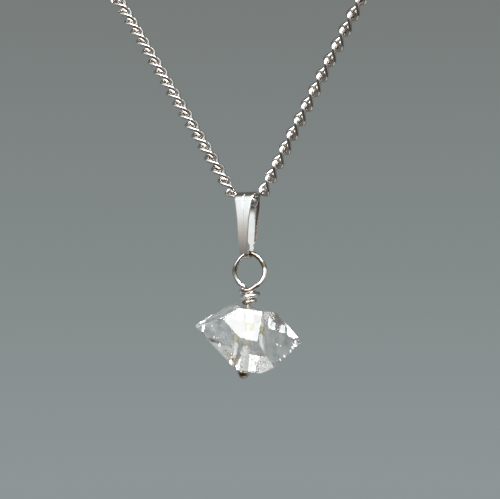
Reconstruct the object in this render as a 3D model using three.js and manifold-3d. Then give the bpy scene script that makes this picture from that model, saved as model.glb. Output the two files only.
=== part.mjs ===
// Herkimer diamond pendant hanging in the V of its neck chain.
// Millimetres, +Z up. The chain lies in the XZ plane, +X to the right strand.
// The origin is the hold: plumb above the bail, about level with the middle of the two end rings.
import * as THREE from 'three';
import { ConvexGeometry } from 'three/addons/geometries/ConvexGeometry.js';
import * as BufferGeometryUtils from 'three/addons/utils/BufferGeometryUtils.js';
import Module from 'manifold-3d';

const wasm = await Module();
wasm.setup();
const rad = THREE.MathUtils.degToRad;

// Height of the hold above the reference level, which runs through the bail's fold.
const HOLD_HEIGHT = 21.5;

// Chain: curb links of round wire, each twisted about its length.
// The links in the tight bend inside the bail, and the two next to them, are drawn finer.
const LINK = { wire: 0.52, width: 1.80, slack: 0.02 };
const FIRST_LINK = { wire: 0.42, width: 1.80, slack: 0.07 };
const MIDDLE_LINK = { wire: 0.31, width: 1.35, slack: 0.14 };
const LINK_TWIST = -57;
const WIRE_SIDES = 8;
const CROWN_ANGLES = [-74, -40, -13, 13, 40, 74];
const LEFT = { pitch: 1.466, elevation: 54.2, roll: -76, links: 18, x: -1.95 };
const RIGHT = { pitch: 1.575, elevation: 57.7, roll: -130, links: 15, x: 2.09 };
const MIDDLE_PITCH = 1.60;
const MIDDLE_LINKS = 3;
const MIDDLE_SHIFT = -0.15;
const CHAIN_DATUM_Z = 0.53;
const CHAIN_BEND_RADIUS = 2.5;
const END_RING_WIRE = 0.30;
const END_RING_RADIUS = 1.2;
const END_RING_TURN = 105;
const RING_GAP = 0.03;

// Bail: one strip folded over the chain, its back tongue curled up under the eye.
const BAIL_X = 0.08;
const BAIL_TURN = 6;
const BAIL_SHEET = 0.19;
const BAIL_TOP = 0.52;
const BAIL_FOLD_RADIUS = 0.92;
const BAIL_FRONT_END = -5.70;
const BAIL_BACK_END = -4.70;
const BAIL_OUTLINE = [[1.17, 0.52], [1.13, 0.2], [1.00, -0.3], [0.88, -0.8], [0.77, -1.5], [0.64, -2.4]];
const BAIL_END_HALF_WIDTH = 0.38;
const GROOVE_WIDTH = 0.5;
const GROOVE_DEPTH = 0.09;
const TONGUE_WIDTH = 0.50;
const CURL_RADIUS = 0.63;
const CURL_Z = -5.61;
const CURL_TIP = -5.36;

// Pin: one wire, a ball below the stone, an eye above it and wraps below the eye.
const PIN_WIRE = 0.48;
const PIN_TURN = 22;
const PIN_X = 0.062;
const PIN_Y = 0.315;
const PIN_Z = -10.0;
const PIN_SIDES = 6;
const EYE_RADIUS = 1.575;
const EYE_STRETCH = 0.315;
const EYE_X = 0.05;
const EYE_Z = 2.5;
const BALL_DIAMETER = 1.3;
const BALL_X = -0.619;
const BALL_Z = -7.57;

// Crystal: faces given by turn about the long axis, slope towards the right end, distance out.
const CRYSTAL = { x: 0.13, y: 0.10, z: -14.1, azimuth: 43.3, dip: 9.95 };
const DRILL_DIAMETER = 0.8;
const CRYSTAL_FACES = [
  [87.7, -0.6, 3.05], [27.6, 0.0, 3.92], [-30.7, -2.3, 3.70],
  [-92.6, 1.1, 2.95], [147.3, 0.0, 3.40], [-152.7, 0.0, 3.33],
  [87.5, -39.0, 3.54], [-31.4, -37.6, 3.73], [-92.0, -36.5, 3.02],
  [147.3, -38.1, 4.55], [-152.7, -38.2, 4.20],
  [23.8, 42.8, 3.15], [87.2, 37.7, 3.73], [-91.9, 38.2, 3.22], [147.3, 38.2, 4.40],
];

const silver = { color: 0xc9c6c2, roughness: 0.16, metalness: 1.0 };
const quartz = { color: 0xe9edf0, roughness: 0.05, metalness: 0.0 };

function solid(geometry) {
  const bare = new THREE.BufferGeometry();
  const source = geometry.index ? geometry.toNonIndexed() : geometry;
  bare.setAttribute('position', source.attributes.position.clone());
  const merged = BufferGeometryUtils.mergeVertices(bare, 1e-5);
  return new wasm.Manifold(new wasm.Mesh({
    numProp: 3,
    vertProperties: new Float32Array(merged.attributes.position.array),
    triVerts: new Uint32Array(merged.index.array),
  }));
}

function surface(body) {
  const mesh = body.getMesh();
  const geometry = new THREE.BufferGeometry();
  geometry.setAttribute('position', new THREE.BufferAttribute(new Float32Array(mesh.vertProperties), 3));
  geometry.setIndex(new THREE.BufferAttribute(new Uint32Array(mesh.triVerts), 1));
  return geometry;
}

// Corner radius of a polygon with as much area as the round wire it stands for.
function equalAreaRadius(wire, sides) {
  return wire / 2 * Math.sqrt(2 * Math.PI / (sides * Math.sin(2 * Math.PI / sides)));
}

function piece(name, geometry, look) {
  const bare = geometry.clone();
  bare.deleteAttribute('uv');
  bare.deleteAttribute('normal');
  bare.computeVertexNormals();
  const mesh = new THREE.Mesh(bare, new THREE.MeshStandardMaterial(look));
  mesh.name = name;
  return mesh;
}

// ---------- chain ----------

// A closed ring of round wire laid along a stadium and twisted about its long axis.
function linkGeometry(pitch, link) {
  const halfLength = (pitch + link.wire) / 2 + link.slack;
  const halfWidth = (link.width - link.wire) / 2;
  const straight = halfLength - halfWidth;
  const crown = halfWidth / Math.cos(rad(CROWN_ANGLES[3]));
  const around = [...CROWN_ANGLES, ...CROWN_ANGLES.map((a) => a + 180)];
  const steps = around.length;
  const ring = new THREE.TorusGeometry(1, 0.1, WIRE_SIDES, steps);
  const position = ring.attributes.position;
  const wire = equalAreaRadius(link.wire, WIRE_SIDES);
  for (let side = 0; side <= WIRE_SIDES; side += 1) {
    for (let step = 0; step <= steps; step += 1) {
      const a = rad(around[step % steps]);
      const v = 2 * Math.PI * (side % WIRE_SIDES + 0.5) / WIRE_SIDES;
      const reach = crown + wire * Math.cos(v);
      const px = Math.sign(Math.cos(a)) * straight + reach * Math.cos(a);
      const py = reach * Math.sin(a);
      const pz = wire * Math.sin(v);
      const twist = rad(LINK_TWIST) * px / halfLength;
      position.setXYZ(
        side * (steps + 1) + step,
        px,
        py * Math.cos(twist) - pz * Math.sin(twist),
        py * Math.sin(twist) + pz * Math.cos(twist),
      );
    }
  }
  return ring;
}

// The run of the chain: straight left strand, a round bend through the bail, straight right strand.
const leftDir = new THREE.Vector2(Math.cos(rad(LEFT.elevation)), -Math.sin(rad(LEFT.elevation)));
const rightDir = new THREE.Vector2(Math.cos(rad(RIGHT.elevation)), Math.sin(rad(RIGHT.elevation)));
const leftFoot = new THREE.Vector2(LEFT.x, CHAIN_DATUM_Z);
const rightFoot = new THREE.Vector2(RIGHT.x, CHAIN_DATUM_Z);
const crossing = (rightFoot.clone().sub(leftFoot).cross(rightDir)) / leftDir.cross(rightDir);
const apex = leftFoot.clone().addScaledVector(leftDir, crossing);
const halfTurn = rad(LEFT.elevation + RIGHT.elevation) / 2;
const tangentLength = CHAIN_BEND_RADIUS * Math.tan(halfTurn);
const bendStart = apex.clone().addScaledVector(leftDir, -tangentLength);
const bendLength = 2 * halfTurn * CHAIN_BEND_RADIUS;

// Point on the run at arc length s from the start of the bend.
function runPoint(s) {
  if (s < 0) return bendStart.clone().addScaledVector(leftDir, s);
  if (s > bendLength) {
    return apex.clone().addScaledVector(rightDir, tangentLength + s - bendLength);
  }
  const centre = bendStart.clone().add(new THREE.Vector2(-leftDir.y, leftDir.x).multiplyScalar(CHAIN_BEND_RADIUS));
  const a = -Math.PI / 2 - rad(LEFT.elevation) + s / CHAIN_BEND_RADIUS;
  return centre.add(new THREE.Vector2(Math.cos(a), Math.sin(a)).multiplyScalar(CHAIN_BEND_RADIUS));
}

function runDirection(s) {
  const a = THREE.MathUtils.clamp(s / CHAIN_BEND_RADIUS, 0, 2 * halfTurn) - rad(LEFT.elevation);
  return new THREE.Vector3(Math.cos(a), 0, Math.sin(a));
}

// Place of a link at arc length s.
function linkMatrix(s) {
  const share = THREE.MathUtils.smoothstep(s, 0, bendLength);
  const roll = rad(THREE.MathUtils.lerp(LEFT.roll, RIGHT.roll, share));
  const p = runPoint(s);
  const d = runDirection(s);
  const front = new THREE.Vector3(0, -1, 0);
  const side = new THREE.Vector3().crossVectors(front, d);
  const n = front.multiplyScalar(Math.cos(roll)).addScaledVector(side, Math.sin(roll));
  const w = new THREE.Vector3().crossVectors(n, d);
  return new THREE.Matrix4().makeBasis(d, w, n).setPosition(p.x, 0, p.y);
}

const chain = new THREE.Group();
chain.position.z = -HOLD_HEIGHT;

function addLink(name, s, pitch, link) {
  chain.add(piece(name, linkGeometry(pitch, link).applyMatrix4(linkMatrix(s)), silver));
}

// The links inside the bail, then both strands, counted outward from it.
const middleStart = (bendLength - MIDDLE_LINKS * MIDDLE_PITCH) / 2 + MIDDLE_SHIFT;
for (let i = 0; i < MIDDLE_LINKS; i += 1) {
  addLink(`bail_link_${i + 1}`, middleStart + (i + 0.5) * MIDDLE_PITCH, MIDDLE_PITCH, MIDDLE_LINK);
}
const strands = [
  { side: 'left', run: LEFT, sign: -1, start: middleStart },
  { side: 'right', run: RIGHT, sign: 1, start: middleStart + MIDDLE_LINKS * MIDDLE_PITCH },
];
for (const { side, run, sign, start } of strands) {
  for (let i = 0; i < run.links; i += 1) {
    run.end = start + sign * (i + 0.5) * run.pitch;
    addLink(`${side}_link_${String(i + 1).padStart(2, '0')}`, run.end, run.pitch, i > 0 ? LINK : FIRST_LINK);
  }
}

// Round end rings, each hooked in the crown of the last link.
function endRing(name, run, sign) {
  const reach = run.pitch / 2 + LINK.slack - END_RING_WIRE / 2 - RING_GAP + END_RING_RADIUS;
  const ring = new THREE.TorusGeometry(END_RING_RADIUS, END_RING_WIRE / 2, 6, 18);
  ring.rotateX(sign * rad(LINK_TWIST + END_RING_TURN));
  ring.translate(sign * reach, 0, 0);
  ring.applyMatrix4(linkMatrix(run.end));
  return piece(name, ring, silver);
}
chain.add(endRing('end_ring_left', LEFT, -1));
chain.add(endRing('end_ring_right', RIGHT, 1));

// ---------- bail ----------

function extrude(shape, depth) {
  const geometry = new THREE.ExtrudeGeometry(shape, { depth, bevelEnabled: false, curveSegments: 9 });
  geometry.translate(0, 0, -depth / 2);
  return geometry;
}

// A side profile drawn as (depth, height), extruded across the width.
function acrossWidth(shape, width) {
  const geometry = extrude(shape, width);
  geometry.rotateX(Math.PI / 2);
  geometry.rotateZ(Math.PI / 2);
  return solid(geometry);
}

// An outline drawn as (across, height), extruded through the depth between two planes.
function throughDepth(shape, from, to) {
  const geometry = extrude(shape, to - from);
  geometry.rotateX(Math.PI / 2);
  geometry.translate(0, (from + to) / 2, 0);
  return solid(geometry);
}

const foldZ = BAIL_TOP - BAIL_FOLD_RADIUS;
const innerRadius = BAIL_FOLD_RADIUS - BAIL_SHEET;

// Side profile of the whole strip: front leaf, fold, back leaf and the curl of its tongue.
function stripProfile() {
  const y = BAIL_FOLD_RADIUS - CURL_RADIUS;
  const curlInner = CURL_RADIUS - BAIL_SHEET;
  const shape = new THREE.Shape();
  shape.moveTo(-BAIL_FOLD_RADIUS, BAIL_FRONT_END);
  shape.lineTo(-innerRadius, BAIL_FRONT_END);
  shape.lineTo(-innerRadius, foldZ);
  shape.absarc(0, foldZ, innerRadius, Math.PI, 0, true);
  shape.lineTo(innerRadius, CURL_Z);
  shape.absarc(y, CURL_Z, curlInner, 0, Math.PI, true);
  shape.lineTo(y - curlInner, CURL_TIP);
  shape.lineTo(y - CURL_RADIUS, CURL_TIP);
  shape.lineTo(y - CURL_RADIUS, CURL_Z);
  shape.absarc(y, CURL_Z, CURL_RADIUS, Math.PI, 2 * Math.PI, false);
  shape.lineTo(BAIL_FOLD_RADIUS, foldZ);
  shape.absarc(0, foldZ, BAIL_FOLD_RADIUS, 0, Math.PI, false);
  return shape;
}

// Flared and tapered outline of the strip, seen from the front.
function leafOutline() {
  const edge = BAIL_OUTLINE.map(([x, z]) => new THREE.Vector2(x, z));
  edge.push(new THREE.Vector2(BAIL_END_HALF_WIDTH, BAIL_FRONT_END - 0.8));
  const shape = new THREE.Shape();
  shape.moveTo(edge[0].x, BAIL_TOP + 0.1);
  edge.forEach((p) => shape.lineTo(p.x, p.y));
  edge.reverse().forEach((p) => shape.lineTo(-p.x, p.y));
  shape.lineTo(-BAIL_OUTLINE[0][0], BAIL_TOP + 0.1);
  return shape;
}

// What is trimmed off each side of the back leaf's end to leave its rounded tip and the tongue.
function tipTrim(side) {
  const half = TONGUE_WIDTH / 2;
  const shape = new THREE.Shape();
  shape.moveTo(side * half, -6.6);
  shape.lineTo(side * half, BAIL_BACK_END - 0.05);
  shape.quadraticCurveTo(side * 0.46, BAIL_BACK_END + 0.04, side * 0.62, BAIL_BACK_END + 0.5);
  shape.lineTo(side * 1.5, BAIL_BACK_END + 0.5);
  shape.lineTo(side * 1.5, -6.6);
  return shape;
}

const groove = new THREE.Shape();
groove.moveTo(-GROOVE_WIDTH / 2, -BAIL_FOLD_RADIUS);
groove.lineTo(-GROOVE_WIDTH / 2, -BAIL_FOLD_RADIUS - 0.5);
groove.lineTo(GROOVE_WIDTH / 2, -BAIL_FOLD_RADIUS - 0.5);
groove.lineTo(GROOVE_WIDTH / 2, -BAIL_FOLD_RADIUS);
groove.lineTo(0, -BAIL_FOLD_RADIUS + GROOVE_DEPTH);
const grooveCut = extrude(groove, 8);
grooveCut.translate(0, 0, foldZ - 4);
const bailBody = acrossWidth(stripProfile(), 4)
  .intersect(throughDepth(leafOutline(), -2, 2))
  .subtract(throughDepth(tipTrim(1), -0.5, 2))
  .subtract(throughDepth(tipTrim(-1), -0.5, 2))
  .subtract(solid(grooveCut));
const bail = piece('bail', surface(bailBody), silver);
bail.position.set(BAIL_X, 0, -HOLD_HEIGHT);
bail.rotation.z = rad(BAIL_TURN);

// ---------- pin ----------

const lean = (0 - BALL_X) / (0 - BALL_Z);
const pinPoints = [];
for (let i = 0; i <= 6; i += 1) {
  const z = BALL_Z + (-0.9 - BALL_Z) * i / 6;
  pinPoints.push(new THREE.Vector3(lean * z, 0, z));
}
pinPoints.push(new THREE.Vector3(-0.05, 0, -0.35));
pinPoints.push(new THREE.Vector3(-0.16, 0, 0.1));
pinPoints.push(new THREE.Vector3(-0.37, 0, 0.5));
const EYE_STEPS = 26;
for (let i = 0; i <= EYE_STEPS; i += 1) {
  const a = rad(205 + (505 - 205) * i / EYE_STEPS - 360);
  const x = EYE_X + EYE_RADIUS * Math.sin(a);
  const z = EYE_Z + EYE_RADIUS * Math.cos(a) + EYE_STRETCH * Math.max(0, Math.cos(a)) ** 4;
  pinPoints.push(new THREE.Vector3(x, i > EYE_STEPS - 4 ? -0.16 * (i - EYE_STEPS + 4) : 0, z));
}
const WRAP_STEPS = 30;
for (let i = 0; i <= WRAP_STEPS; i += 1) {
  const a = 75 + (880 - 75) * i / WRAP_STEPS;
  const r = THREE.MathUtils.lerp(0.86, 0.53, THREE.MathUtils.smoothstep(a, 300, 760));
  const z = 0.7 - 0.6 * (a - 90) / 360;
  pinPoints.push(new THREE.Vector3(r * Math.cos(rad(a)), -r * Math.sin(rad(a)), z));
}
const pinCurve = new THREE.CatmullRomCurve3(pinPoints, false, 'centripetal');
const wireShape = new THREE.Shape();
for (let i = 0; i < PIN_SIDES; i += 1) {
  const a = 2 * Math.PI * i / PIN_SIDES;
  const r = equalAreaRadius(PIN_WIRE, PIN_SIDES);
  if (i === 0) wireShape.moveTo(r, 0);
  else wireShape.lineTo(r * Math.cos(a), r * Math.sin(a));
}
const wireBody = solid(new THREE.ExtrudeGeometry(wireShape, { steps: 68, bevelEnabled: false, extrudePath: pinCurve }));
const ball = new THREE.SphereGeometry(BALL_DIAMETER / 2, 16, 10);
ball.translate(BALL_X, 0, BALL_Z);
const pin = piece('pin', surface(wireBody.add(solid(ball))), silver);
pin.position.set(PIN_X, PIN_Y, PIN_Z - HOLD_HEIGHT);
pin.rotation.z = rad(PIN_TURN);

// ---------- crystal ----------

function faceNormal(turn, slope) {
  return new THREE.Vector3(
    Math.sin(rad(slope)),
    -Math.cos(rad(slope)) * Math.cos(rad(turn)),
    Math.cos(rad(slope)) * Math.sin(rad(turn)),
  );
}

// Corners of the convex body bounded by the faces.
function corners(faces) {
  const planes = faces.map(([turn, slope, out]) => ({ n: faceNormal(turn, slope), out }));
  const found = [];
  for (let i = 0; i < planes.length; i += 1) {
    for (let j = i + 1; j < planes.length; j += 1) {
      for (let k = j + 1; k < planes.length; k += 1) {
        const [a, b, c] = [planes[i], planes[j], planes[k]];
        const bc = new THREE.Vector3().crossVectors(b.n, c.n);
        const ca = new THREE.Vector3().crossVectors(c.n, a.n);
        const ab = new THREE.Vector3().crossVectors(a.n, b.n);
        const volume = a.n.dot(bc);
        if (Math.abs(volume) < 1e-3) continue;
        const p = bc.multiplyScalar(a.out).addScaledVector(ca, b.out).addScaledVector(ab, c.out);
        p.divideScalar(volume);
        if (planes.every(({ n, out }) => n.dot(p) < out + 1e-4)) found.push(p);
      }
    }
  }
  return found;
}

const stone = solid(new ConvexGeometry(corners(CRYSTAL_FACES)));
const crystal = new THREE.Object3D();
crystal.position.set(CRYSTAL.x, CRYSTAL.y, CRYSTAL.z - HOLD_HEIGHT);
crystal.rotation.set(0, rad(CRYSTAL.dip), rad(CRYSTAL.azimuth), 'ZYX');
crystal.updateMatrixWorld();
pin.updateMatrixWorld();
const drill = new THREE.CylinderGeometry(DRILL_DIAMETER / 2, DRILL_DIAMETER / 2, 12, 20);
drill.rotateX(Math.PI / 2);
drill.rotateY(Math.atan(lean));
drill.translate(lean * -4.1, 0, -4.1);
drill.applyMatrix4(pin.matrixWorld);
drill.applyMatrix4(crystal.matrixWorld.clone().invert());
const crystalMesh = piece('crystal', surface(stone.subtract(solid(drill))), quartz);
crystalMesh.position.copy(crystal.position);
crystalMesh.rotation.copy(crystal.rotation);

const group = new THREE.Group();
group.add(chain, bail, pin, crystalMesh);

export default group;
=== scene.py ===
"""Quartz crystal pendant on its chain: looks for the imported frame. Millimetres below, metres in Blender."""
import math
import random

import bmesh
import bpy
from mathutils import Matrix, Vector


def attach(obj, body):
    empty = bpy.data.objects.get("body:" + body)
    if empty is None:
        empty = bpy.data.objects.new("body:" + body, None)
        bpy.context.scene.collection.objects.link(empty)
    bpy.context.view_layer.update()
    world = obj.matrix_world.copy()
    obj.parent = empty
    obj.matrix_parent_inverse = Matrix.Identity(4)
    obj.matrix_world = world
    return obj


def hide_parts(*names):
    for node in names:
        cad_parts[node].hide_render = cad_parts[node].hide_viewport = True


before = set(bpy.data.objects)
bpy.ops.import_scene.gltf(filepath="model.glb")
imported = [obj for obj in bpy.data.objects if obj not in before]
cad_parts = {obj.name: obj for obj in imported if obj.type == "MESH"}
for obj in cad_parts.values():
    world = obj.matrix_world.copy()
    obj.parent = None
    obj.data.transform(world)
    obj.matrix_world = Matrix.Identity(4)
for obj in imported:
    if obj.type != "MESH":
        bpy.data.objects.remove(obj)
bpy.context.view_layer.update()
scene = bpy.context.scene
rad = math.radians
MM = 0.001

# ---------------------------------------------------------------- sizes repeated from the part's source
HOLD_HEIGHT = 21.5
# The links in the tight bend inside the bail, and the two next to them, are drawn finer.
LINK = {"wire": 0.52, "width": 1.80, "slack": 0.02}
FIRST_LINK = {"wire": 0.42, "width": 1.80, "slack": 0.07}
MIDDLE_LINK = {"wire": 0.31, "width": 1.35, "slack": 0.14}
LINK_TWIST = -57
# Each run's repeat, slope, roll about its length, number of links and where it meets the level of the bend.
LEFT = {"pitch": 1.466, "elevation": 54.2, "roll": -76, "links": 18, "x": -1.95}
RIGHT = {"pitch": 1.575, "elevation": 57.7, "roll": -130, "links": 15, "x": 2.09}
MIDDLE_PITCH = 1.60
MIDDLE_LINKS = 3
MIDDLE_SHIFT = -0.15
CHAIN_DATUM_Z = 0.53
BEND_RADIUS = 2.5
END_RING_WIRE = 0.30
END_RING_RADIUS = 1.2
END_RING_TURN = 105
RING_GAP = 0.03

BAIL_X = 0.08
BAIL_TURN = 6
SHEET = 0.19
BAIL_TOP = 0.52
FOLD_RADIUS = 0.92
FRONT_END = -5.70
BACK_END = -4.70
# Half width of the strip and height, from the fold down to the front leaf's end.
OUTLINE = [(1.17, 0.62), (1.17, 0.52), (1.13, 0.2), (1.00, -0.3), (0.88, -0.8), (0.77, -1.5), (0.64, -2.4),
           (0.38, -6.5)]
EDGE_ROUND = 0.028
GROOVE_WIDTH = 0.16
GROOVE_DEPTH = 0.05
GROOVE_X = 0.02
TONGUE_WIDTH = 0.50
LEAF_BOW = 0.11
BACK_BOW = 0.22
CURL_RADIUS = 0.63
CURL_Z = -5.61
CURL_TIP = -5.36
# The back leaf's rounded tip: half width and height at its shoulder, its corner and the tongue.
TIP = [(0.62, BACK_END + 0.5), (0.46, BACK_END + 0.04), (TONGUE_WIDTH / 2, BACK_END - 0.05)]

PIN_WIRE = 0.48
PIN_TURN = 22
PIN_X, PIN_Y, PIN_Z = 0.062, 0.315, -10.0
EYE_RADIUS = 1.575
EYE_STRETCH = 0.315
EYE_X, EYE_Z = 0.05, 2.5
BALL_DIAMETER = 1.3
BALL_X, BALL_Z = -0.619, -7.57
LEAN = BALL_X / BALL_Z
SHANK_TOP = -0.9
# The bend from the straight shank into the eye, as (across, height).
NECK = [(-0.05, -0.35), (-0.16, 0.1), (-0.37, 0.5)]
# Turns round the eye and round the wraps, in degrees.
EYE_FROM, EYE_SWEEP = -155, 300
EYE_CLOSE = 0.64
WRAP_FROM, WRAP_SWEEP = 75, 805
WRAP_WIDE, WRAP_CLOSE = 0.86, 0.53
NARROWING_FROM, NARROWING_SWEEP = 300, 460
WRAP_TOP, WRAP_PITCH = 0.7, 0.6
PIN_PLACE = Matrix.Translation((PIN_X, PIN_Y, PIN_Z - HOLD_HEIGHT)) @ Matrix.Rotation(rad(PIN_TURN), 4, "Z")

VIEW_TURN = 36
CAMERA_ASIDE, CAMERA_DISTANCE, CAMERA_DROP = 0.3, 100, 5.25
right = Vector((math.cos(rad(VIEW_TURN)), math.sin(rad(VIEW_TURN)), 0))
away = Vector((-math.sin(rad(VIEW_TURN)), math.cos(rad(VIEW_TURN)), 0))
up = Vector((0, 0, 1))

# ---------------------------------------------------------------- camera
eye = Vector((0, 0, -HOLD_HEIGHT)) + right * CAMERA_ASIDE - away * CAMERA_DISTANCE - up * CAMERA_DROP
camera_data = bpy.data.cameras.new("camera")
camera_data.lens = 72
camera_data.sensor_width = 36
camera_data.clip_start = 0.005
camera_data.clip_end = 10
camera = bpy.data.objects.new("camera", camera_data)
camera.location = eye * MM
camera.rotation_euler = (math.pi / 2, 0, rad(VIEW_TURN))
scene.collection.objects.link(camera)
scene.camera = camera
scene.view_settings.view_transform = "Standard"


# ---------------------------------------------------------------- node helpers
def node(tree, kind, **values):
    made = tree.nodes.new(kind)
    for key, value in values.items():
        setattr(made, key, value)
    return made


def ramp(tree, stops, source):
    made = node(tree, "ShaderNodeValToRGB")
    elements = made.color_ramp.elements
    while len(elements) > 1:
        elements.remove(elements[-1])
    for i, (place, colour) in enumerate(stops):
        element = elements[0] if i == 0 else elements.new(place)
        element.position = place
        element.color = (*colour, 1)
    tree.links.new(source, made.inputs[0])
    return made


def noise(tree, scale, **settings):
    """Noise in the piece's own coordinates. Other settings than the scale go by their lower-case names."""
    made = node(tree, "ShaderNodeTexNoise")
    made.inputs["Scale"].default_value = scale
    for key, value in settings.items():
        made.inputs[key.capitalize()].default_value = value
    place = tree.nodes.get("Texture Coordinate") or node(tree, "ShaderNodeTexCoord")
    tree.links.new(place.outputs["Object"], made.inputs["Vector"])
    return made.outputs["Fac"]


def stretch(tree, source, least, most, low=0, high=1, **values):
    """A value between low and high, stretched to lie between least and most."""
    made = node(tree, "ShaderNodeMapRange", **values)
    for key, value in (("From Min", low), ("From Max", high), ("To Min", least), ("To Max", most)):
        made.inputs[key].default_value = value
    tree.links.new(source, made.inputs["Value"])
    return made.outputs["Result"]


def roughen(tree, source, strength, distance):
    """Shallow relief on the material's surface."""
    made = node(tree, "ShaderNodeBump")
    made.inputs["Strength"].default_value = strength
    made.inputs["Distance"].default_value = distance
    tree.links.new(source, made.inputs["Height"])
    tree.links.new(made.outputs["Normal"], tree.nodes["Principled BSDF"].inputs["Normal"])


def new_material(name):
    material = bpy.data.materials.new(name)
    material.use_nodes = True
    tree = material.node_tree
    return material, tree, tree.nodes["Principled BSDF"]


# ---------------------------------------------------------------- surroundings
# Colours from straight down (0) to straight up (1), behind the pendant and on the camera's side of it.
BEHIND = [
    (0.0, (0.15, 0.15, 0.14)), (0.34, (0.26, 0.29, 0.295)), (0.39, (0.268, 0.303, 0.308)),
    (0.50, (0.225, 0.255, 0.252)), (0.61, (0.190, 0.208, 0.203)), (0.75, (0.15, 0.145, 0.13)),
    (0.93, (0.10, 0.09, 0.08)), (1.0, (0.16, 0.15, 0.14)),
]
BEFORE = [
    (0.0, (0.10, 0.085, 0.075)), (0.385, (0.065, 0.05, 0.042)), (0.416, (0.15, 0.135, 0.12)),
    (0.45, (0.27, 0.25, 0.235)), (0.48, (0.39, 0.365, 0.34)), (0.50, (0.49, 0.455, 0.42)),
    (0.53, (0.66, 0.65, 0.62)), (0.56, (0.87, 0.92, 0.93)), (0.60, (0.93, 0.99, 1)), (1.0, (0.93, 0.99, 1)),
]
STONE_MIDDLE = Vector((0.13, 0.10, -35.6)) * MM
KEY_SPOT = STONE_MIDDLE + Vector((0.616, -0.250, 0.747)) * 0.2
FILL_SPOT = STONE_MIDDLE + (-away * 190 - right * 120 + up * 150) * MM
FLOOR_RADIUS = 0.14
FLOOR_HEIGHT = -0.32


def build_world():
    world = bpy.data.worlds.new("studio")
    scene.world = world
    world.use_nodes = True
    tree = world.node_tree
    link = tree.links.new
    place = node(tree, "ShaderNodeTexCoord")
    parts = node(tree, "ShaderNodeSeparateXYZ")
    link(place.outputs["Generated"], parts.inputs[0])
    height = stretch(tree, parts.outputs["Z"], 0, 1, -1)
    facing = node(tree, "ShaderNodeVectorMath", operation="DOT_PRODUCT")
    facing.inputs[1].default_value = -away
    link(place.outputs["Generated"], facing.inputs[0])
    share = stretch(tree, facing.outputs["Value"], 0, 1, -0.05, 0.35, interpolation_type="SMOOTHSTEP")
    mix = node(tree, "ShaderNodeMix", data_type="RGBA")
    link(share, mix.inputs["Factor"])
    link(ramp(tree, BEHIND, height).outputs[0], mix.inputs["A"])
    link(ramp(tree, BEFORE, height).outputs[0], mix.inputs["B"])
    link(mix.outputs["Result"], tree.nodes["Background"].inputs["Color"])


def area_light(name, spot, size, power, colour):
    """A square lamp that faces the stone."""
    data = bpy.data.lights.new(name, "AREA")
    data.shape = "RECTANGLE"
    data.size = data.size_y = size
    data.energy = power
    data.color = colour
    lamp = bpy.data.objects.new(name, data)
    lamp.location = spot
    lamp.rotation_euler = (STONE_MIDDLE - spot).to_track_quat("-Z", "Y").to_euler()
    scene.collection.objects.link(lamp)


def build_stage():
    bpy.ops.mesh.primitive_circle_add(vertices=96, radius=FLOOR_RADIUS, fill_type="NGON",
                                      location=(0, 0, FLOOR_HEIGHT))
    floor = bpy.context.object
    floor.name = "floor"
    material, _, bsdf = new_material("pale_floor")
    bsdf.inputs["Base Color"].default_value = (0.62, 0.61, 0.59, 1)
    bsdf.inputs["Roughness"].default_value = 0.9
    floor.data.materials.append(material)


build_world()
area_light("key", KEY_SPOT, 0.09, 0.36, (1, 0.99, 0.97))
area_light("fill", FILL_SPOT, 0.20, 0.8, (0.97, 0.985, 1))
build_stage()


# ---------------------------------------------------------------- materials
def silver(name, colour, roughness, tarnish, tint=(0.20, 0.13, 0.08), spread=(0.35, 0.75)):
    """Polished silver: fine handling scratches, cloudy polish and a little brown tarnish in patches."""
    material, tree, bsdf = new_material(name)
    cloud = noise(tree, 900, detail=3)
    stained = tuple(c * (1 - tarnish) + t * tarnish for c, t in zip(colour, tint))
    colours = ramp(tree, [(spread[0], colour), (spread[1], stained)], cloud)
    tree.links.new(colours.outputs[0], bsdf.inputs["Base Color"])
    tree.links.new(stretch(tree, cloud, roughness * 0.6, roughness * 1.6), bsdf.inputs["Roughness"])
    roughen(tree, noise(tree, 9000, detail=2), 0.08, 0.00001)
    bsdf.inputs["Metallic"].default_value = 1
    return material


def quartz(name, roughness, tint, wobble):
    """Quartz with faintly uneven faces, clear unless what it is made for adds to it."""
    material, tree, bsdf = new_material(name)
    bsdf.inputs["Base Color"].default_value = (*tint, 1)
    bsdf.inputs["Roughness"].default_value = roughness
    bsdf.inputs["IOR"].default_value = 1.547
    bsdf.inputs["Transmission Weight"].default_value = 1
    roughen(tree, noise(tree, 420, detail=2), wobble, 0.0002)
    return material


def cloudy(name, colour, other, transmission, roughness=0.6, metallic=0):
    """Broken or stained quartz, and the olive painted reflection in the drilled hole: matt, patchy between
    two colours, partly letting light through.
    """
    material = quartz(name, roughness, colour, 0.3)
    tree = material.node_tree
    bsdf = tree.nodes["Principled BSDF"]
    bsdf.inputs["Transmission Weight"].default_value = transmission
    bsdf.inputs["Metallic"].default_value = metallic
    colours = ramp(tree, [(0.38, colour), (0.62, other)], noise(tree, 2600))
    tree.links.new(colours.outputs[0], bsdf.inputs["Base Color"])
    return material


def hazy(name, least, most, scale, tint):
    """Clear quartz with thin cloudy patches near the surface, letting least to most of the light through."""
    material = quartz(name, 0.0, tint, 0.12)
    tree = material.node_tree
    patches = noise(tree, scale, detail=5, roughness=0.65)
    clear = stretch(tree, patches, most, least, 0.34, 0.62)
    tree.links.new(clear, tree.nodes["Principled BSDF"].inputs["Transmission Weight"])
    return material


chain_silver = silver("chain_silver", (0.86, 0.83, 0.80), 0.14, 0.35)
bail_silver = silver("bail_silver", (0.97, 0.965, 0.95), 0.12, 0.10)
# Painted shade: dark brown silver for the back leaf's inner face, in the gap behind the front leaf.
painted_shade_silver = silver("painted_shade_silver", (0.34, 0.27, 0.23), 0.16, 0.6, (0.12, 0.07, 0.05))
pin_silver = silver("pin_silver", (0.90, 0.86, 0.82), 0.13, 0.85, (0.17, 0.12, 0.06), (0.47, 0.60))

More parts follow.
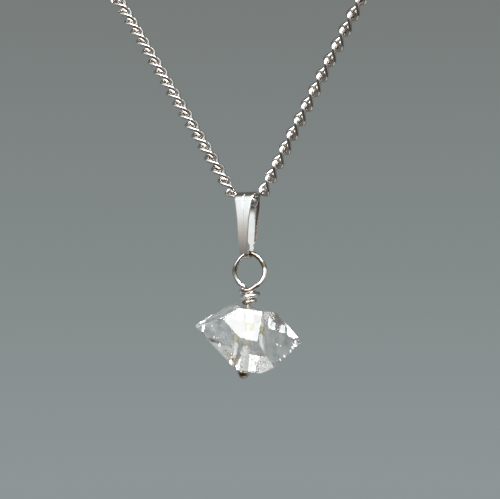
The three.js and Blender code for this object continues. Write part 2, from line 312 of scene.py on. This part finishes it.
clear_quartz = quartz("clear_quartz", 0.0, (0.995, 0.995, 0.99), 0.12)
hazy_quartz = hazy("hazy_quartz", 0.66, 0.97, 750, (0.88, 0.89, 0.88))
thin_haze_quartz = hazy("thin_haze_quartz", 0.84, 0.98, 600, (0.97, 0.975, 0.97))
scuffed_quartz = hazy("scuffed_quartz", 0.50, 0.98, 800, (0.80, 0.81, 0.79))
ground_quartz = cloudy("ground_quartz", (0.97, 0.97, 0.96), (0.86, 0.87, 0.86), 0.25)
worn_quartz = cloudy("worn_quartz", (0.98, 0.985, 0.97), (0.90, 0.90, 0.88), 0.1)
white_fleck = cloudy("white_fleck", (0.99, 1.0, 1.0), (0.94, 0.96, 0.96), 0, roughness=0.35, metallic=1)
iron_stain = cloudy("iron_stain", (0.36, 0.22, 0.11), (0.12, 0.06, 0.03), 0)
clay_stain = cloudy("clay_stain", (0.72, 0.60, 0.44), (0.52, 0.40, 0.27), 0)
# Painted reflection: olive colour for the greenish-brown reflection in the middle of the stone, laid on the
# drilled hole's wall.
olive_painted_reflection = cloudy("olive_painted_reflection", (0.42, 0.42, 0.20), (0.24, 0.22, 0.10), 0.1)


# ---------------------------------------------------------------- mesh helpers
def mesh_object(name, points, faces, material, smooth=True):
    """A mesh in the scene. Its points are in metres."""
    mesh = bpy.data.meshes.new(name)
    mesh.from_pydata([tuple(p) for p in points], [], faces)
    mesh.validate()
    for polygon in mesh.polygons:
        polygon.use_smooth = smooth
    made = bpy.data.objects.new(name, mesh)
    made.data.materials.append(material)
    scene.collection.objects.link(made)
    return made


def grid_faces(rows, columns, close_rows, close_columns, start=0):
    """Faces between rows of points, closed round or left open each way."""
    faces = []
    for i in range(rows if close_rows else rows - 1):
        for j in range(columns if close_columns else columns - 1):
            a = i * columns + j
            b = i * columns + (j + 1) % columns
            c = (i + 1) % rows * columns + (j + 1) % columns
            d = (i + 1) % rows * columns + j
            faces.append(tuple(start + k for k in (a, b, c, d)))
    return faces


# ---------------------------------------------------------------- chain
# The chain hangs in one upright plane. There, a place is (across, height), and s runs along the chain from
# the left end of its bend.
def vec2(angle):
    return Vector((math.cos(angle), math.sin(angle)))


left_dir = vec2(-rad(LEFT["elevation"]))
right_dir = vec2(rad(RIGHT["elevation"]))
left_foot = Vector((LEFT["x"], CHAIN_DATUM_Z))
right_foot = Vector((RIGHT["x"], CHAIN_DATUM_Z))


def cross2(a, b):
    return a.x * b.y - a.y * b.x


# Where the two straight runs would meet, and the arc that rounds that corner.
apex = left_foot + left_dir * (cross2(right_foot - left_foot, right_dir) / cross2(left_dir, right_dir))
half_turn = rad(LEFT["elevation"] + RIGHT["elevation"]) / 2
tangent_length = BEND_RADIUS * math.tan(half_turn)
bend_start = apex - left_dir * tangent_length
bend_length = 2 * half_turn * BEND_RADIUS


def run_point(s):
    """Place on the chain's middle line."""
    if s < 0:
        return bend_start + left_dir * s
    if s > bend_length:
        return apex + right_dir * (tangent_length + s - bend_length)
    centre = bend_start + Vector((-left_dir.y, left_dir.x)) * BEND_RADIUS
    return centre + vec2(-math.pi / 2 - rad(LEFT["elevation"]) + s / BEND_RADIUS) * BEND_RADIUS


def smooth_step(share):
    share = min(max(share, 0), 1)
    return share * share * (3 - 2 * share)


def link_matrix(s):
    """Place and turn of a link, its roll going over from one run's to the other's in the bend."""
    share = smooth_step(s / bend_length)
    roll = rad(LEFT["roll"] + (RIGHT["roll"] - LEFT["roll"]) * share)
    p = run_point(s)
    a = min(max(s / BEND_RADIUS, 0), 2 * half_turn) - rad(LEFT["elevation"])
    d = Vector((math.cos(a), 0, math.sin(a)))
    front = Vector((0, -1, 0))
    n = front * math.cos(roll) + front.cross(d) * math.sin(roll)
    w = n.cross(d)
    basis = Matrix((d, w, n)).transposed().to_4x4()
    basis.translation = (p.x, 0, p.y - HOLD_HEIGHT)
    return basis


WIRE_SIDES = 16
LINK_ARC = 24
RING_ROWS = 56


def link_points(pitch, link):
    """The twisted ring of one link, as rows round the wire."""
    radius = link["wire"] / 2
    half_length = pitch / 2 + radius + link["slack"]
    half_width = link["width"] / 2 - radius
    rows = []
    for end in (1, -1):
        for i in range(LINK_ARC + 1):
            a = rad(-90 * end + 180 * i / LINK_ARC)
            row = []
            for j in range(WIRE_SIDES):
                v = 2 * math.pi * j / WIRE_SIDES
                reach = half_width + radius * math.cos(v)
                px = end * (half_length - half_width) + reach * math.cos(a)
                py = reach * math.sin(a)
                pz = radius * math.sin(v)
                twist = Matrix.Rotation(rad(LINK_TWIST) * px / half_length, 3, "X")
                row.append(twist @ Vector((px, py, pz)))
            rows.append(row)
    return rows


def chain_piece(name, rows, place):
    """A closed ring of wire from rows of points in mm, put in its place."""
    points = [place @ p * MM for row in rows for p in row]
    made = mesh_object(name + "_wire", points, grid_faces(len(rows), WIRE_SIDES, True, True), chain_silver)
    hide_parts(name)
    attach(made, "chain")


middle_start = (bend_length - MIDDLE_LINKS * MIDDLE_PITCH) / 2 + MIDDLE_SHIFT
middle_end = middle_start + MIDDLE_LINKS * MIDDLE_PITCH
for i in range(MIDDLE_LINKS):
    spot = middle_start + (i + 0.5) * MIDDLE_PITCH
    chain_piece(f"bail_link_{i + 1}", link_points(MIDDLE_PITCH, MIDDLE_LINK), link_matrix(spot))
# Each run keeps the place of its last link for the end ring.
for side, run, sign, start in (("left", LEFT, -1, middle_start), ("right", RIGHT, 1, middle_end)):
    for i in range(run["links"]):
        run["end"] = start + sign * (i + 0.5) * run["pitch"]
        points = link_points(run["pitch"], LINK if i else FIRST_LINK)
        chain_piece(f"{side}_link_{i + 1:02d}", points, link_matrix(run["end"]))


def end_ring(name, run, sign):
    """Plain round ring through the last link of a run."""
    radius = END_RING_WIRE / 2
    reach = run["pitch"] / 2 + LINK["slack"] - radius - RING_GAP + END_RING_RADIUS
    turn = Matrix.Rotation(sign * rad(LINK_TWIST + END_RING_TURN), 4, "X")
    rows = []
    for i in range(RING_ROWS):
        a = 2 * math.pi * i / RING_ROWS
        row = []
        for j in range(WIRE_SIDES):
            v = 2 * math.pi * j / WIRE_SIDES
            r = END_RING_RADIUS + radius * math.cos(v)
            row.append(Vector((r * math.cos(a), r * math.sin(a), radius * math.sin(v))))
        rows.append(row)
    chain_piece(name, rows, link_matrix(run["end"]) @ Matrix.Translation((sign * reach, 0, 0)) @ turn)


end_ring("end_ring_left", LEFT, -1)
end_ring("end_ring_right", RIGHT, 1)


# ---------------------------------------------------------------- bail
FOLD_Z = BAIL_TOP - FOLD_RADIUS
FOLD_INNER = FOLD_RADIUS - SHEET
# A width cap beyond the strip's own width.
UNCAPPED = 9
LEAF_STEPS = 40
FOLD_STEPS = 32
BACK_STEPS = 30
TIP_STEPS = 24
TONGUE_STEPS = 8
CURL_STEPS = 32
# Steps round the fold over which the groove runs out.
GROOVE_FADE = 14
# Where the back leaf bows most, as a share of its height from the fold.
BOW_PEAK = 0.25
# Where the painted shade on the back leaf's inner face lies: share of the width it starts from, and the
# height it ends at.
PAINTED_SHADE_EDGE = 0.55
PAINTED_SHADE_END = BACK_END + 0.2


def outline_width(z):
    """Half width of the strip at a height."""
    for (x0, z0), (x1, z1) in zip(OUTLINE, OUTLINE[1:]):
        if z >= z1:
            return x0 + (x1 - x0) * min(1, (z0 - z) / (z0 - z1))
    return OUTLINE[-1][0]


def tip_point(t):
    """Half width and height on the back leaf's rounded tip, from its shoulder to the tongue."""
    a, b, c = (Vector(q) for q in TIP)
    return a * (1 - t) ** 2 + b * 2 * t * (1 - t) + c * t * t


def arc_station(y, z, radius, angle, cap, groove):
    """Station where the strip bends round (y, z), its outer face at the radius."""
    across, rise = math.cos(angle), math.sin(angle)
    inner = radius - SHEET
    return (y + radius * across, z + radius * rise), (y + inner * across, z + inner * rise), cap, groove


def bail_stations():
    """Stations of the strip: outer and inner point, as (y, z), width cap, and share of the groove's depth."""
    rows = []
    for i in range(LEAF_STEPS + 1):
        z = FRONT_END + (FOLD_Z - FRONT_END) * i / LEAF_STEPS
        bow = LEAF_BOW * 4 * (i / LEAF_STEPS) * (1 - i / LEAF_STEPS)
        rows.append(((-FOLD_RADIUS - bow, z), (-FOLD_INNER - bow, z), UNCAPPED, 1))
    for i in range(1, FOLD_STEPS):
        angle = math.pi - math.pi * i / FOLD_STEPS
        rows.append(arc_station(0, FOLD_Z, FOLD_RADIUS, angle, UNCAPPED, max(0, 1 - i / GROOVE_FADE)))
    shoulder_z = TIP[0][1]
    neck_z = TIP[-1][1]
    back = [(UNCAPPED, FOLD_Z + (shoulder_z - FOLD_Z) * i / BACK_STEPS) for i in range(BACK_STEPS + 1)]
    back += [tuple(tip_point(i / TIP_STEPS)) for i in range(1, TIP_STEPS + 1)]
    for i in range(1, TONGUE_STEPS + 1):
        back.append((TONGUE_WIDTH / 2, neck_z + (CURL_Z - neck_z) * i / TONGUE_STEPS))
    for x, z in back:
        share = (FOLD_Z - z) / (FOLD_Z - CURL_Z)
        bow = BACK_BOW * (1 - share) / (1 - BOW_PEAK) * (1 - max(0, 1 - share / BOW_PEAK) ** 2)
        rows.append(((FOLD_RADIUS + bow, z), (FOLD_INNER + bow, z), x, 0))
    y = FOLD_RADIUS - CURL_RADIUS
    for i in range(1, CURL_STEPS + 1):
        rows.append(arc_station(y, CURL_Z, CURL_RADIUS, -math.pi * i / CURL_STEPS, TONGUE_WIDTH / 2, 0))
    rows.append(((y - CURL_RADIUS, CURL_TIP), (y - CURL_RADIUS + SHEET, CURL_TIP), TONGUE_WIDTH / 2, 0))
    return rows


def strip_section(outer, inner, cap, groove):
    """Points round the strip at one station: outer face, rounded edge, inner face, other edge."""
    by_the_groove = [0.02 * i for i in range(-7, 12)]
    across = [-1, -0.8, -0.6, -0.4, -0.2, *by_the_groove, 0.4, 0.6, 0.8, 1]
    o, i = Vector((0, *outer)), Vector((0, *inner))
    thick = (i - o).normalized()
    side = Vector((1, 0, 0))
    wide_o = min(cap, outline_width(o.z))
    wide_i = min(cap, outline_width(i.z))
    r = EDGE_ROUND
    section = []
    for u in across:
        x = u * (wide_o - r)
        cut = GROOVE_DEPTH * groove * max(0, 1 - abs(x - GROOVE_X) / (GROOVE_WIDTH / 2))
        section.append(o + side * x + thick * cut)
    section += [o + side * (wide_o - 0.3 * r) + thick * 0.3 * r, o + side * wide_o + thick * r]
    section += [i + side * wide_i - thick * r, i + side * (wide_i - 0.3 * r) - thick * 0.3 * r]
    section += [i + side * u * (wide_i - r) for u in reversed(across)]
    section += [i - side * (wide_i - 0.3 * r) - thick * 0.3 * r, i - side * wide_i - thick * r]
    section += [o - side * wide_o + thick * r, o - side * (wide_o - 0.3 * r) + thick * 0.3 * r]
    return section


def paint_shade_on_back_leaf(strip, place):
    """Painted shade: dark brown along one side of the back leaf's inner face, in the gap behind the front
    leaf.
    """
    strip.data.materials.append(painted_shade_silver)
    back = place.inverted()
    for face in strip.data.polygons:
        spot = back @ (face.center / MM)
        inward = (back.to_3x3() @ face.normal).y < -0.5
        on_back_leaf = spot.y > 0.5 and spot.z > PAINTED_SHADE_END
        if inward and on_back_leaf and spot.x > PAINTED_SHADE_EDGE * outline_width(spot.z):
            face.material_index = 1


def bail_piece():
    place = Matrix.Translation((BAIL_X, 0, -HOLD_HEIGHT)) @ Matrix.Rotation(rad(BAIL_TURN), 4, "Z")
    sections = [strip_section(*station) for station in bail_stations()]
    columns = len(sections[0])
    faces = grid_faces(len(sections), columns, False, True)
    faces.append(tuple(reversed(range(columns))))
    last = (len(sections) - 1) * columns
    faces.append(tuple(range(last, last + columns)))
    made = mesh_object("bail_strip", [place @ p * MM for row in sections for p in row], faces, bail_silver)
    made.data.set_sharp_from_angle(angle=rad(28))
    paint_shade_on_back_leaf(made, place)
    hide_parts("bail")
    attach(made, "bail")


bail_piece()


# ---------------------------------------------------------------- pin
SHANK_STEPS = 6
EYE_STEPS = 26
# The last steps round the eye, over which the wire comes forward to pass its own start.
EYE_CLOSE_STEPS = 7
WRAP_STEPS = 30
PIN_SIDES = 20
BALL_RINGS = 24
BALL_SIDES = 40


def pin_path():
    """Places on the wire from the ball up through the stone, round the eye and down through the wraps."""
    heights = [BALL_Z + (SHANK_TOP - BALL_Z) * i / SHANK_STEPS for i in range(SHANK_STEPS + 1)]
    points = [Vector((LEAN * z, 0, z)) for z in heights]
    points += [Vector((x, 0, z)) for x, z in NECK]
    for i in range(EYE_STEPS + 1):
        a = rad(EYE_FROM + EYE_SWEEP * i / EYE_STEPS)
        z = EYE_Z + EYE_RADIUS * math.cos(a) + EYE_STRETCH * max(0, math.cos(a)) ** 4
        closing = max(0, i - EYE_STEPS + EYE_CLOSE_STEPS) / EYE_CLOSE_STEPS
        points.append(Vector((EYE_X + EYE_RADIUS * math.sin(a), -EYE_CLOSE * closing ** 2, z)))
    for i in range(WRAP_STEPS + 1):
        a = WRAP_FROM + WRAP_SWEEP * i / WRAP_STEPS
        r = WRAP_WIDE + (WRAP_CLOSE - WRAP_WIDE) * smooth_step((a - NARROWING_FROM) / NARROWING_SWEEP)
        z = WRAP_TOP - WRAP_PITCH * (a - 90) / 360
        points.append(Vector((r * math.cos(rad(a)), -r * math.sin(rad(a)), z)))
    return points


def centripetal(points, per_span):
    """Centripetal Catmull-Rom curve through the points."""
    ends = [points[0] * 2 - points[1]] + points + [points[-1] * 2 - points[-2]]
    made = []
    for k in range(len(points) - 1):
        p0, p1, p2, p3 = ends[k:k + 4]
        t0 = 0
        t1 = (p1 - p0).length ** 0.5
        t2 = t1 + (p2 - p1).length ** 0.5
        t3 = t2 + (p3 - p2).length ** 0.5
        for i in range(per_span):
            t = t1 + (t2 - t1) * i / per_span
            a1 = p0 * ((t1 - t) / (t1 - t0)) + p1 * ((t - t0) / (t1 - t0))
            a2 = p1 * ((t2 - t) / (t2 - t1)) + p2 * ((t - t1) / (t2 - t1))
            a3 = p2 * ((t3 - t) / (t3 - t2)) + p3 * ((t - t2) / (t3 - t2))
            b1 = a1 * ((t2 - t) / (t2 - t0)) + a2 * ((t - t0) / (t2 - t0))
            b2 = a2 * ((t3 - t) / (t3 - t1)) + a3 * ((t - t1) / (t3 - t1))
            made.append(b1 * ((t2 - t) / (t2 - t1)) + b2 * ((t - t1) / (t2 - t1)))
    made.append(points[-1])
    return made


def sweep(path, radius, sides):
    """Rows of points round an open path, with a rounded cut at both ends."""
    turns = [2 * math.pi * j / sides for j in range(sides)]
    tangents = []
    for k in range(len(path)):
        tangents.append((path[min(k + 1, len(path) - 1)] - path[max(k - 1, 0)]).normalized())
    normal = tangents[0].orthogonal().normalized()
    rows = []
    for k, (p, t) in enumerate(zip(path, tangents)):
        normal = (normal - t * normal.dot(t)).normalized()
        other = t.cross(normal)
        ring = [normal * math.cos(a) + other * math.sin(a) for a in turns]
        if k == 0:
            rows.append([p + q * radius * 0.8 for q in ring])
            rows.append([p + t * radius * 0.2 + q * radius for q in ring])
        elif k == len(path) - 1:
            rows.append([p - t * radius * 0.2 + q * radius for q in ring])
            rows.append([p + q * radius * 0.8 for q in ring])
        else:
            rows.append([p + q * radius for q in ring])
    return rows


def pin_wire():
    rows = sweep(centripetal(pin_path(), 4), PIN_WIRE / 2, PIN_SIDES)
    faces = grid_faces(len(rows), PIN_SIDES, False, True)
    faces.append(tuple(reversed(range(PIN_SIDES))))
    last = (len(rows) - 1) * PIN_SIDES
    faces.append(tuple(range(last, last + PIN_SIDES)))
    made = mesh_object("pin_wire", [PIN_PLACE @ p * MM for row in rows for p in row], faces, pin_silver)
    made.data.set_sharp_from_angle(angle=rad(50))
    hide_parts("pin")
    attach(made, "pin")


def pin_ball():
    points = [Vector((0, 0, 1))]
    for i in range(1, BALL_RINGS):
        a = math.pi * i / BALL_RINGS
        for j in range(BALL_SIDES):
            b = 2 * math.pi * j / BALL_SIDES
            points.append(Vector((math.sin(a) * math.cos(b), math.sin(a) * math.sin(b), math.cos(a))))
    points.append(Vector((0, 0, -1)))
    faces = [(0, 1 + j, 1 + (j + 1) % BALL_SIDES) for j in range(BALL_SIDES)]
    faces += [tuple(reversed(f)) for f in grid_faces(BALL_RINGS - 1, BALL_SIDES, False, True, 1)]
    end = len(points) - 1
    first = end - BALL_SIDES
    faces += [(end, first + (j + 1) % BALL_SIDES, first + j) for j in range(BALL_SIDES)]
    centre = Vector((BALL_X, 0, BALL_Z))
    points = [PIN_PLACE @ (centre + p * BALL_DIAMETER / 2) * MM for p in points]
    made = mesh_object("pin_ball", points, faces, pin_silver)
    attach(made, "pin")


pin_wire()
pin_ball()


# ---------------------------------------------------------------- crystal
SHARP_EDGE = 24
# A face nearer than this to the middle line of the drilled hole is its wall.
HOLE_WALL = 0.42
# The painted reflection on the drilled hole's wall: radius, top and height, start and sweep round the hole,
# rows and columns.
PAINTED_REFLECTION_RADIUS = 0.425
PAINTED_REFLECTION_TOP, PAINTED_REFLECTION_HEIGHT = -3.05, 0.9
PAINTED_REFLECTION_FROM, PAINTED_REFLECTION_SWEEP = -150, 180
PAINTED_REFLECTION_ROWS, PAINTED_REFLECTION_COLUMNS = 9, 13
FLAKE_SIDES = 6
FLAKE_DEPTH = 0.00003
# How far a flake can reach from its middle, for its size.
FLAKE_REACH = 1.6
CHIP_SIDES = 11
CHIP_TOP, CHIP_FOOT = 0.006, -0.02
STONE_LOOKS = [clear_quartz, ground_quartz, worn_quartz, hazy_quartz, thin_haze_quartz, scuffed_quartz]
CLEAR, GROUND, WORN, HAZY, THIN_HAZE, SCUFFED = range(len(STONE_LOOKS))
# Which ways the faces with a haze or scuffs look out.
FACE_LOOKS = {
    HAZY: [(-0.03, -0.95, -0.30), (-0.55, -0.48, -0.69), (0.56, 0.48, 0.67), (-0.33, -0.36, 0.87)],
    THIN_HAZE: [(0.98, 0.01, 0.17), (0.15, 0.08, 0.99)],
    SCUFFED: [(0.5, -0.71, -0.5)],
}
# Lines of bright flakes just under the faces: both ends, count, scatter, size.
VEILS = [
    ((0.05, -3.95, -34.7), (0.15, -3.45, -36.5), 60, 0.03, 0.045),
    ((0.35, -3.85, -34.9), (0.45, -3.35, -36.7), 50, 0.04, 0.035),
    ((-0.3, -3.9, -34.9), (0.0, -3.5, -36.3), 40, 0.05, 0.03),
    ((-1.2, -4.0, -34.0), (-1.0, -3.95, -34.5), 14, 0.06, 0.05),
    ((-1.25, -3.7, -35.1), (-0.8, -3.65, -35.5), 18, 0.08, 0.06),
    ((-0.66, -3.45, -36.0), (-0.60, -3.4, -36.2), 10, 0.06, 0.20),
    ((2.30, -1.75, -37.5), (2.34, -1.70, -38.0), 14, 0.03, 0.09),
    ((2.75, -0.35, -33.5), (2.80, -0.05, -34.1), 22, 0.12, 0.16),
    ((3.1, 0.3, -36.0), (3.3, 0.5, -36.3), 8, 0.08, 0.07),
]
SPECKS = [((-1.5, -2.5, -35), (2.6, 2.5, -36), 160, 0.9, 0.03)]
# Bruises on faces and edges: place, half length, half width.
BRUISES = [
    ((-0.63, -3.60, -36.05), 0.26, 0.22), ((-1.13, -4.23, -34.19), 0.13, 0.08),
    ((-1.0, -4.1, -34.5), 0.07, 0.05), ((-1.15, -3.88, -35.28), 0.16, 0.10),
    ((-0.8, -3.85, -35.35), 0.06, 0.05), ((-0.45, -3.8, -35.6), 0.05, 0.04),
    ((3.02, -0.32, -33.75), 0.40, 0.36), ((3.3, 0.35, -36.1), 0.10, 0.16), ((3.2, 0.9, -36.3), 0.07, 0.12),
    ((2.39, -1.95, -37.80), 0.36, 0.05), ((3.0, -1.2, -37.9), 0.12, 0.20),
    ((3.35, 3.65, -36.1), 0.24, 0.20), ((3.45, 3.0, -36.6), 0.18, 0.24), ((3.5, 2.5, -36.9), 0.20, 0.14),
    ((3.6, 1.3, -37.3), 0.14, 0.20), ((3.6, 0.5, -37.6), 0.10, 0.16),
]
GRAINS_FROM, GRAINS_TO = Vector((-0.3, -3.5, -36.3)), Vector((1.15, -3.1, -37.9))
GRAIN_COUNT = 150

hole_foot = PIN_PLACE @ Vector((BALL_X, 0, BALL_Z))
hole_axis = (PIN_PLACE @ Vector((0, 0, 0)) - hole_foot).normalized()
stone_faces = []


def hole_distance(spot):
    """Distance from a place in the stone to the middle line of the drilled hole, in mm."""
    reach = spot - hole_foot
    return (reach - hole_axis * reach.dot(hole_axis)).length


def face_look(face):
    """Place of a face's look in the stone's list."""
    in_hole = hole_distance(face.calc_center_median() / MM) < HOLE_WALL
    if in_hole and abs(face.normal.dot(hole_axis)) < 0.2:
        return GROUND
    for look, sides in FACE_LOOKS.items():
        if any(face.normal.dot(Vector(side)) > 0.95 for side in sides):
            return look
    return CLEAR


def crystal_piece():
    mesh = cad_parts["crystal"].data.copy()
    mesh.name = "crystal_body"
    mesh.materials.clear()
    for look in STONE_LOOKS:
        mesh.materials.append(look)
    made = bpy.data.objects.new("crystal_body", mesh)
    scene.collection.objects.link(made)
    work = bmesh.new()
    work.from_mesh(mesh)
    bmesh.ops.remove_doubles(work, verts=work.verts, dist=1e-6)
    bmesh.ops.dissolve_limit(work, angle_limit=rad(1), verts=work.verts, edges=work.edges)
    for face in work.faces:
        if face.calc_area() > 1e-6:
            stone_faces.append((face.normal.copy(), face.calc_center_median()))
        face.material_index = face_look(face)
        face.smooth = True
    work.to_mesh(mesh)
    work.free()
    mesh.set_sharp_from_angle(angle=rad(SHARP_EDGE))
    bevel = made.modifiers.new("worn_edges", "BEVEL")
    bevel.width = 0.00009
    bevel.segments = 2
    bevel.material = WORN
    bevel.limit_method = "ANGLE"
    bevel.angle_limit = rad(SHARP_EDGE)
    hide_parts("crystal")
    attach(made, "crystal")


def slab_faces(first, sides):
    """Faces of a thin slab, from one ring of its points to the next."""
    faces = [tuple(first + k for k in range(sides)), tuple(first + 2 * sides - 1 - k for k in range(sides))]
    for k in range(sides):
        after = (k + 1) % sides
        faces.append((first + k, first + sides + k, first + sides + after, first + after))
    return faces


def stone_detail(name, points, faces, material):
    """A small mesh that belongs to the stone and moves with it."""
    made = mesh_object(name, points, faces, material, smooth=False)
    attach(made, "crystal")


def flakes(name, material, groups, seed):
    """Small flat flakes inside the stone, along lines, clear of its faces and of the drilled hole."""
    chance = random.Random(seed)
    points, faces = [], []
    for start, end, count, scatter, size in groups:
        for i in range(count):
            spot = Vector(start).lerp(Vector(end), (i + 0.5) / count)
            spot += Vector([chance.gauss(0, scatter) for _ in range(3)])
            if any(n.dot(spot * MM - c) > -FLAKE_DEPTH for n, c in stone_faces):
                continue
            if hole_distance(spot) < HOLE_WALL + FLAKE_REACH * size:
                continue
            a = Vector([chance.gauss(0, 1) for _ in range(3)]).normalized()
            b = a.orthogonal().normalized()
            long = size * chance.uniform(0.5, 1.4)
            wide = long * chance.uniform(0.3, 0.7)
            c = a.cross(b)
            faces += slab_faces(len(points), FLAKE_SIDES)
            ring = []
            for k in range(FLAKE_SIDES):
                angle = 2 * math.pi * k / FLAKE_SIDES
                edge = b * math.cos(angle) * long + c * math.sin(angle) * wide
                ring.append(edge * chance.uniform(0.7, 1.1))
            for lift in (0.06, -0.06):
                points += [(spot + q + a * long * lift) * MM for q in ring]
    stone_detail(name, points, faces, material)


def chips(name, material, spots, seed):
    """Small matt bruises or grains lying on the stone's faces: place, half length, half width."""
    chance = random.Random(seed)
    points, faces = [], []
    for place, long, wide in spots:
        spot = Vector(place)
        n, c = max(stone_faces, key=lambda face: face[0].dot(spot * MM - face[1]))
        spot -= n * (n.dot(spot * MM - c) / MM)
        a = n.cross(Vector((0.3, 0.5, 0.8))).normalized()
        b = n.cross(a)
        faces += slab_faces(len(points), CHIP_SIDES)
        shape = [chance.uniform(0.7, 1.15) for _ in range(CHIP_SIDES)]
        for lift in (CHIP_TOP, CHIP_FOOT):
            for k in range(CHIP_SIDES):
                angle = 2 * math.pi * k / CHIP_SIDES
                edge = a * math.cos(angle) * wide + b * math.sin(angle) * long
                points.append((spot + edge * shape[k] + n * lift) * MM)
    stone_detail(name, points, faces, material)


def stain_grains():
    """Grains of iron and clay scattered towards the stone's lower left edge."""
    chance = random.Random(4)
    grains = []
    for _ in range(GRAIN_COUNT):
        spot = GRAINS_FROM.lerp(GRAINS_TO, chance.betavariate(2.2, 1.6))
        spot += Vector((chance.gauss(0, 0.16), 0, chance.gauss(0, 0.16)))
        grain = 0.02 + 0.07 * chance.random() ** 3
        grains.append((spot, grain, grain * chance.uniform(0.5, 1)))
    return grains


def hole_painted_reflection():
    """Painted reflection: an olive patch on part of the drilled hole's wall, standing for the greenish-brown
    reflection in the middle of the stone.
    """
    points = []
    for i in range(PAINTED_REFLECTION_ROWS):
        z = PAINTED_REFLECTION_TOP - PAINTED_REFLECTION_HEIGHT * i / (PAINTED_REFLECTION_ROWS - 1)
        for j in range(PAINTED_REFLECTION_COLUMNS):
            a = rad(PAINTED_REFLECTION_FROM + PAINTED_REFLECTION_SWEEP * j / (PAINTED_REFLECTION_COLUMNS - 1))
            edge = 0.12 * math.sin(3 * a + 5 * z) * (i - 4) / 4
            radius = PAINTED_REFLECTION_RADIUS + 0.004 * math.sin(7 * a)
            spot = Vector((LEAN * z + radius * math.cos(a), radius * math.sin(a), z + edge))
            points.append(PIN_PLACE @ spot * MM)
    faces = grid_faces(PAINTED_REFLECTION_ROWS, PAINTED_REFLECTION_COLUMNS, False, False)
    made = mesh_object("hole_painted_reflection", points, faces, olive_painted_reflection)
    thick = made.modifiers.new("thickness", "SOLIDIFY")
    thick.thickness = 0.00001
    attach(made, "crystal")


crystal_piece()
hole_painted_reflection()
flakes("veils", white_fleck, VEILS, 3)
flakes("specks", white_fleck, SPECKS, 8)
grains = stain_grains()
chips("iron_grains", iron_stain, grains[::2], 21)
chips("clay_grains", clay_stain, grains[1::2], 22)
chips("bruises", worn_quartz, BRUISES, 11)
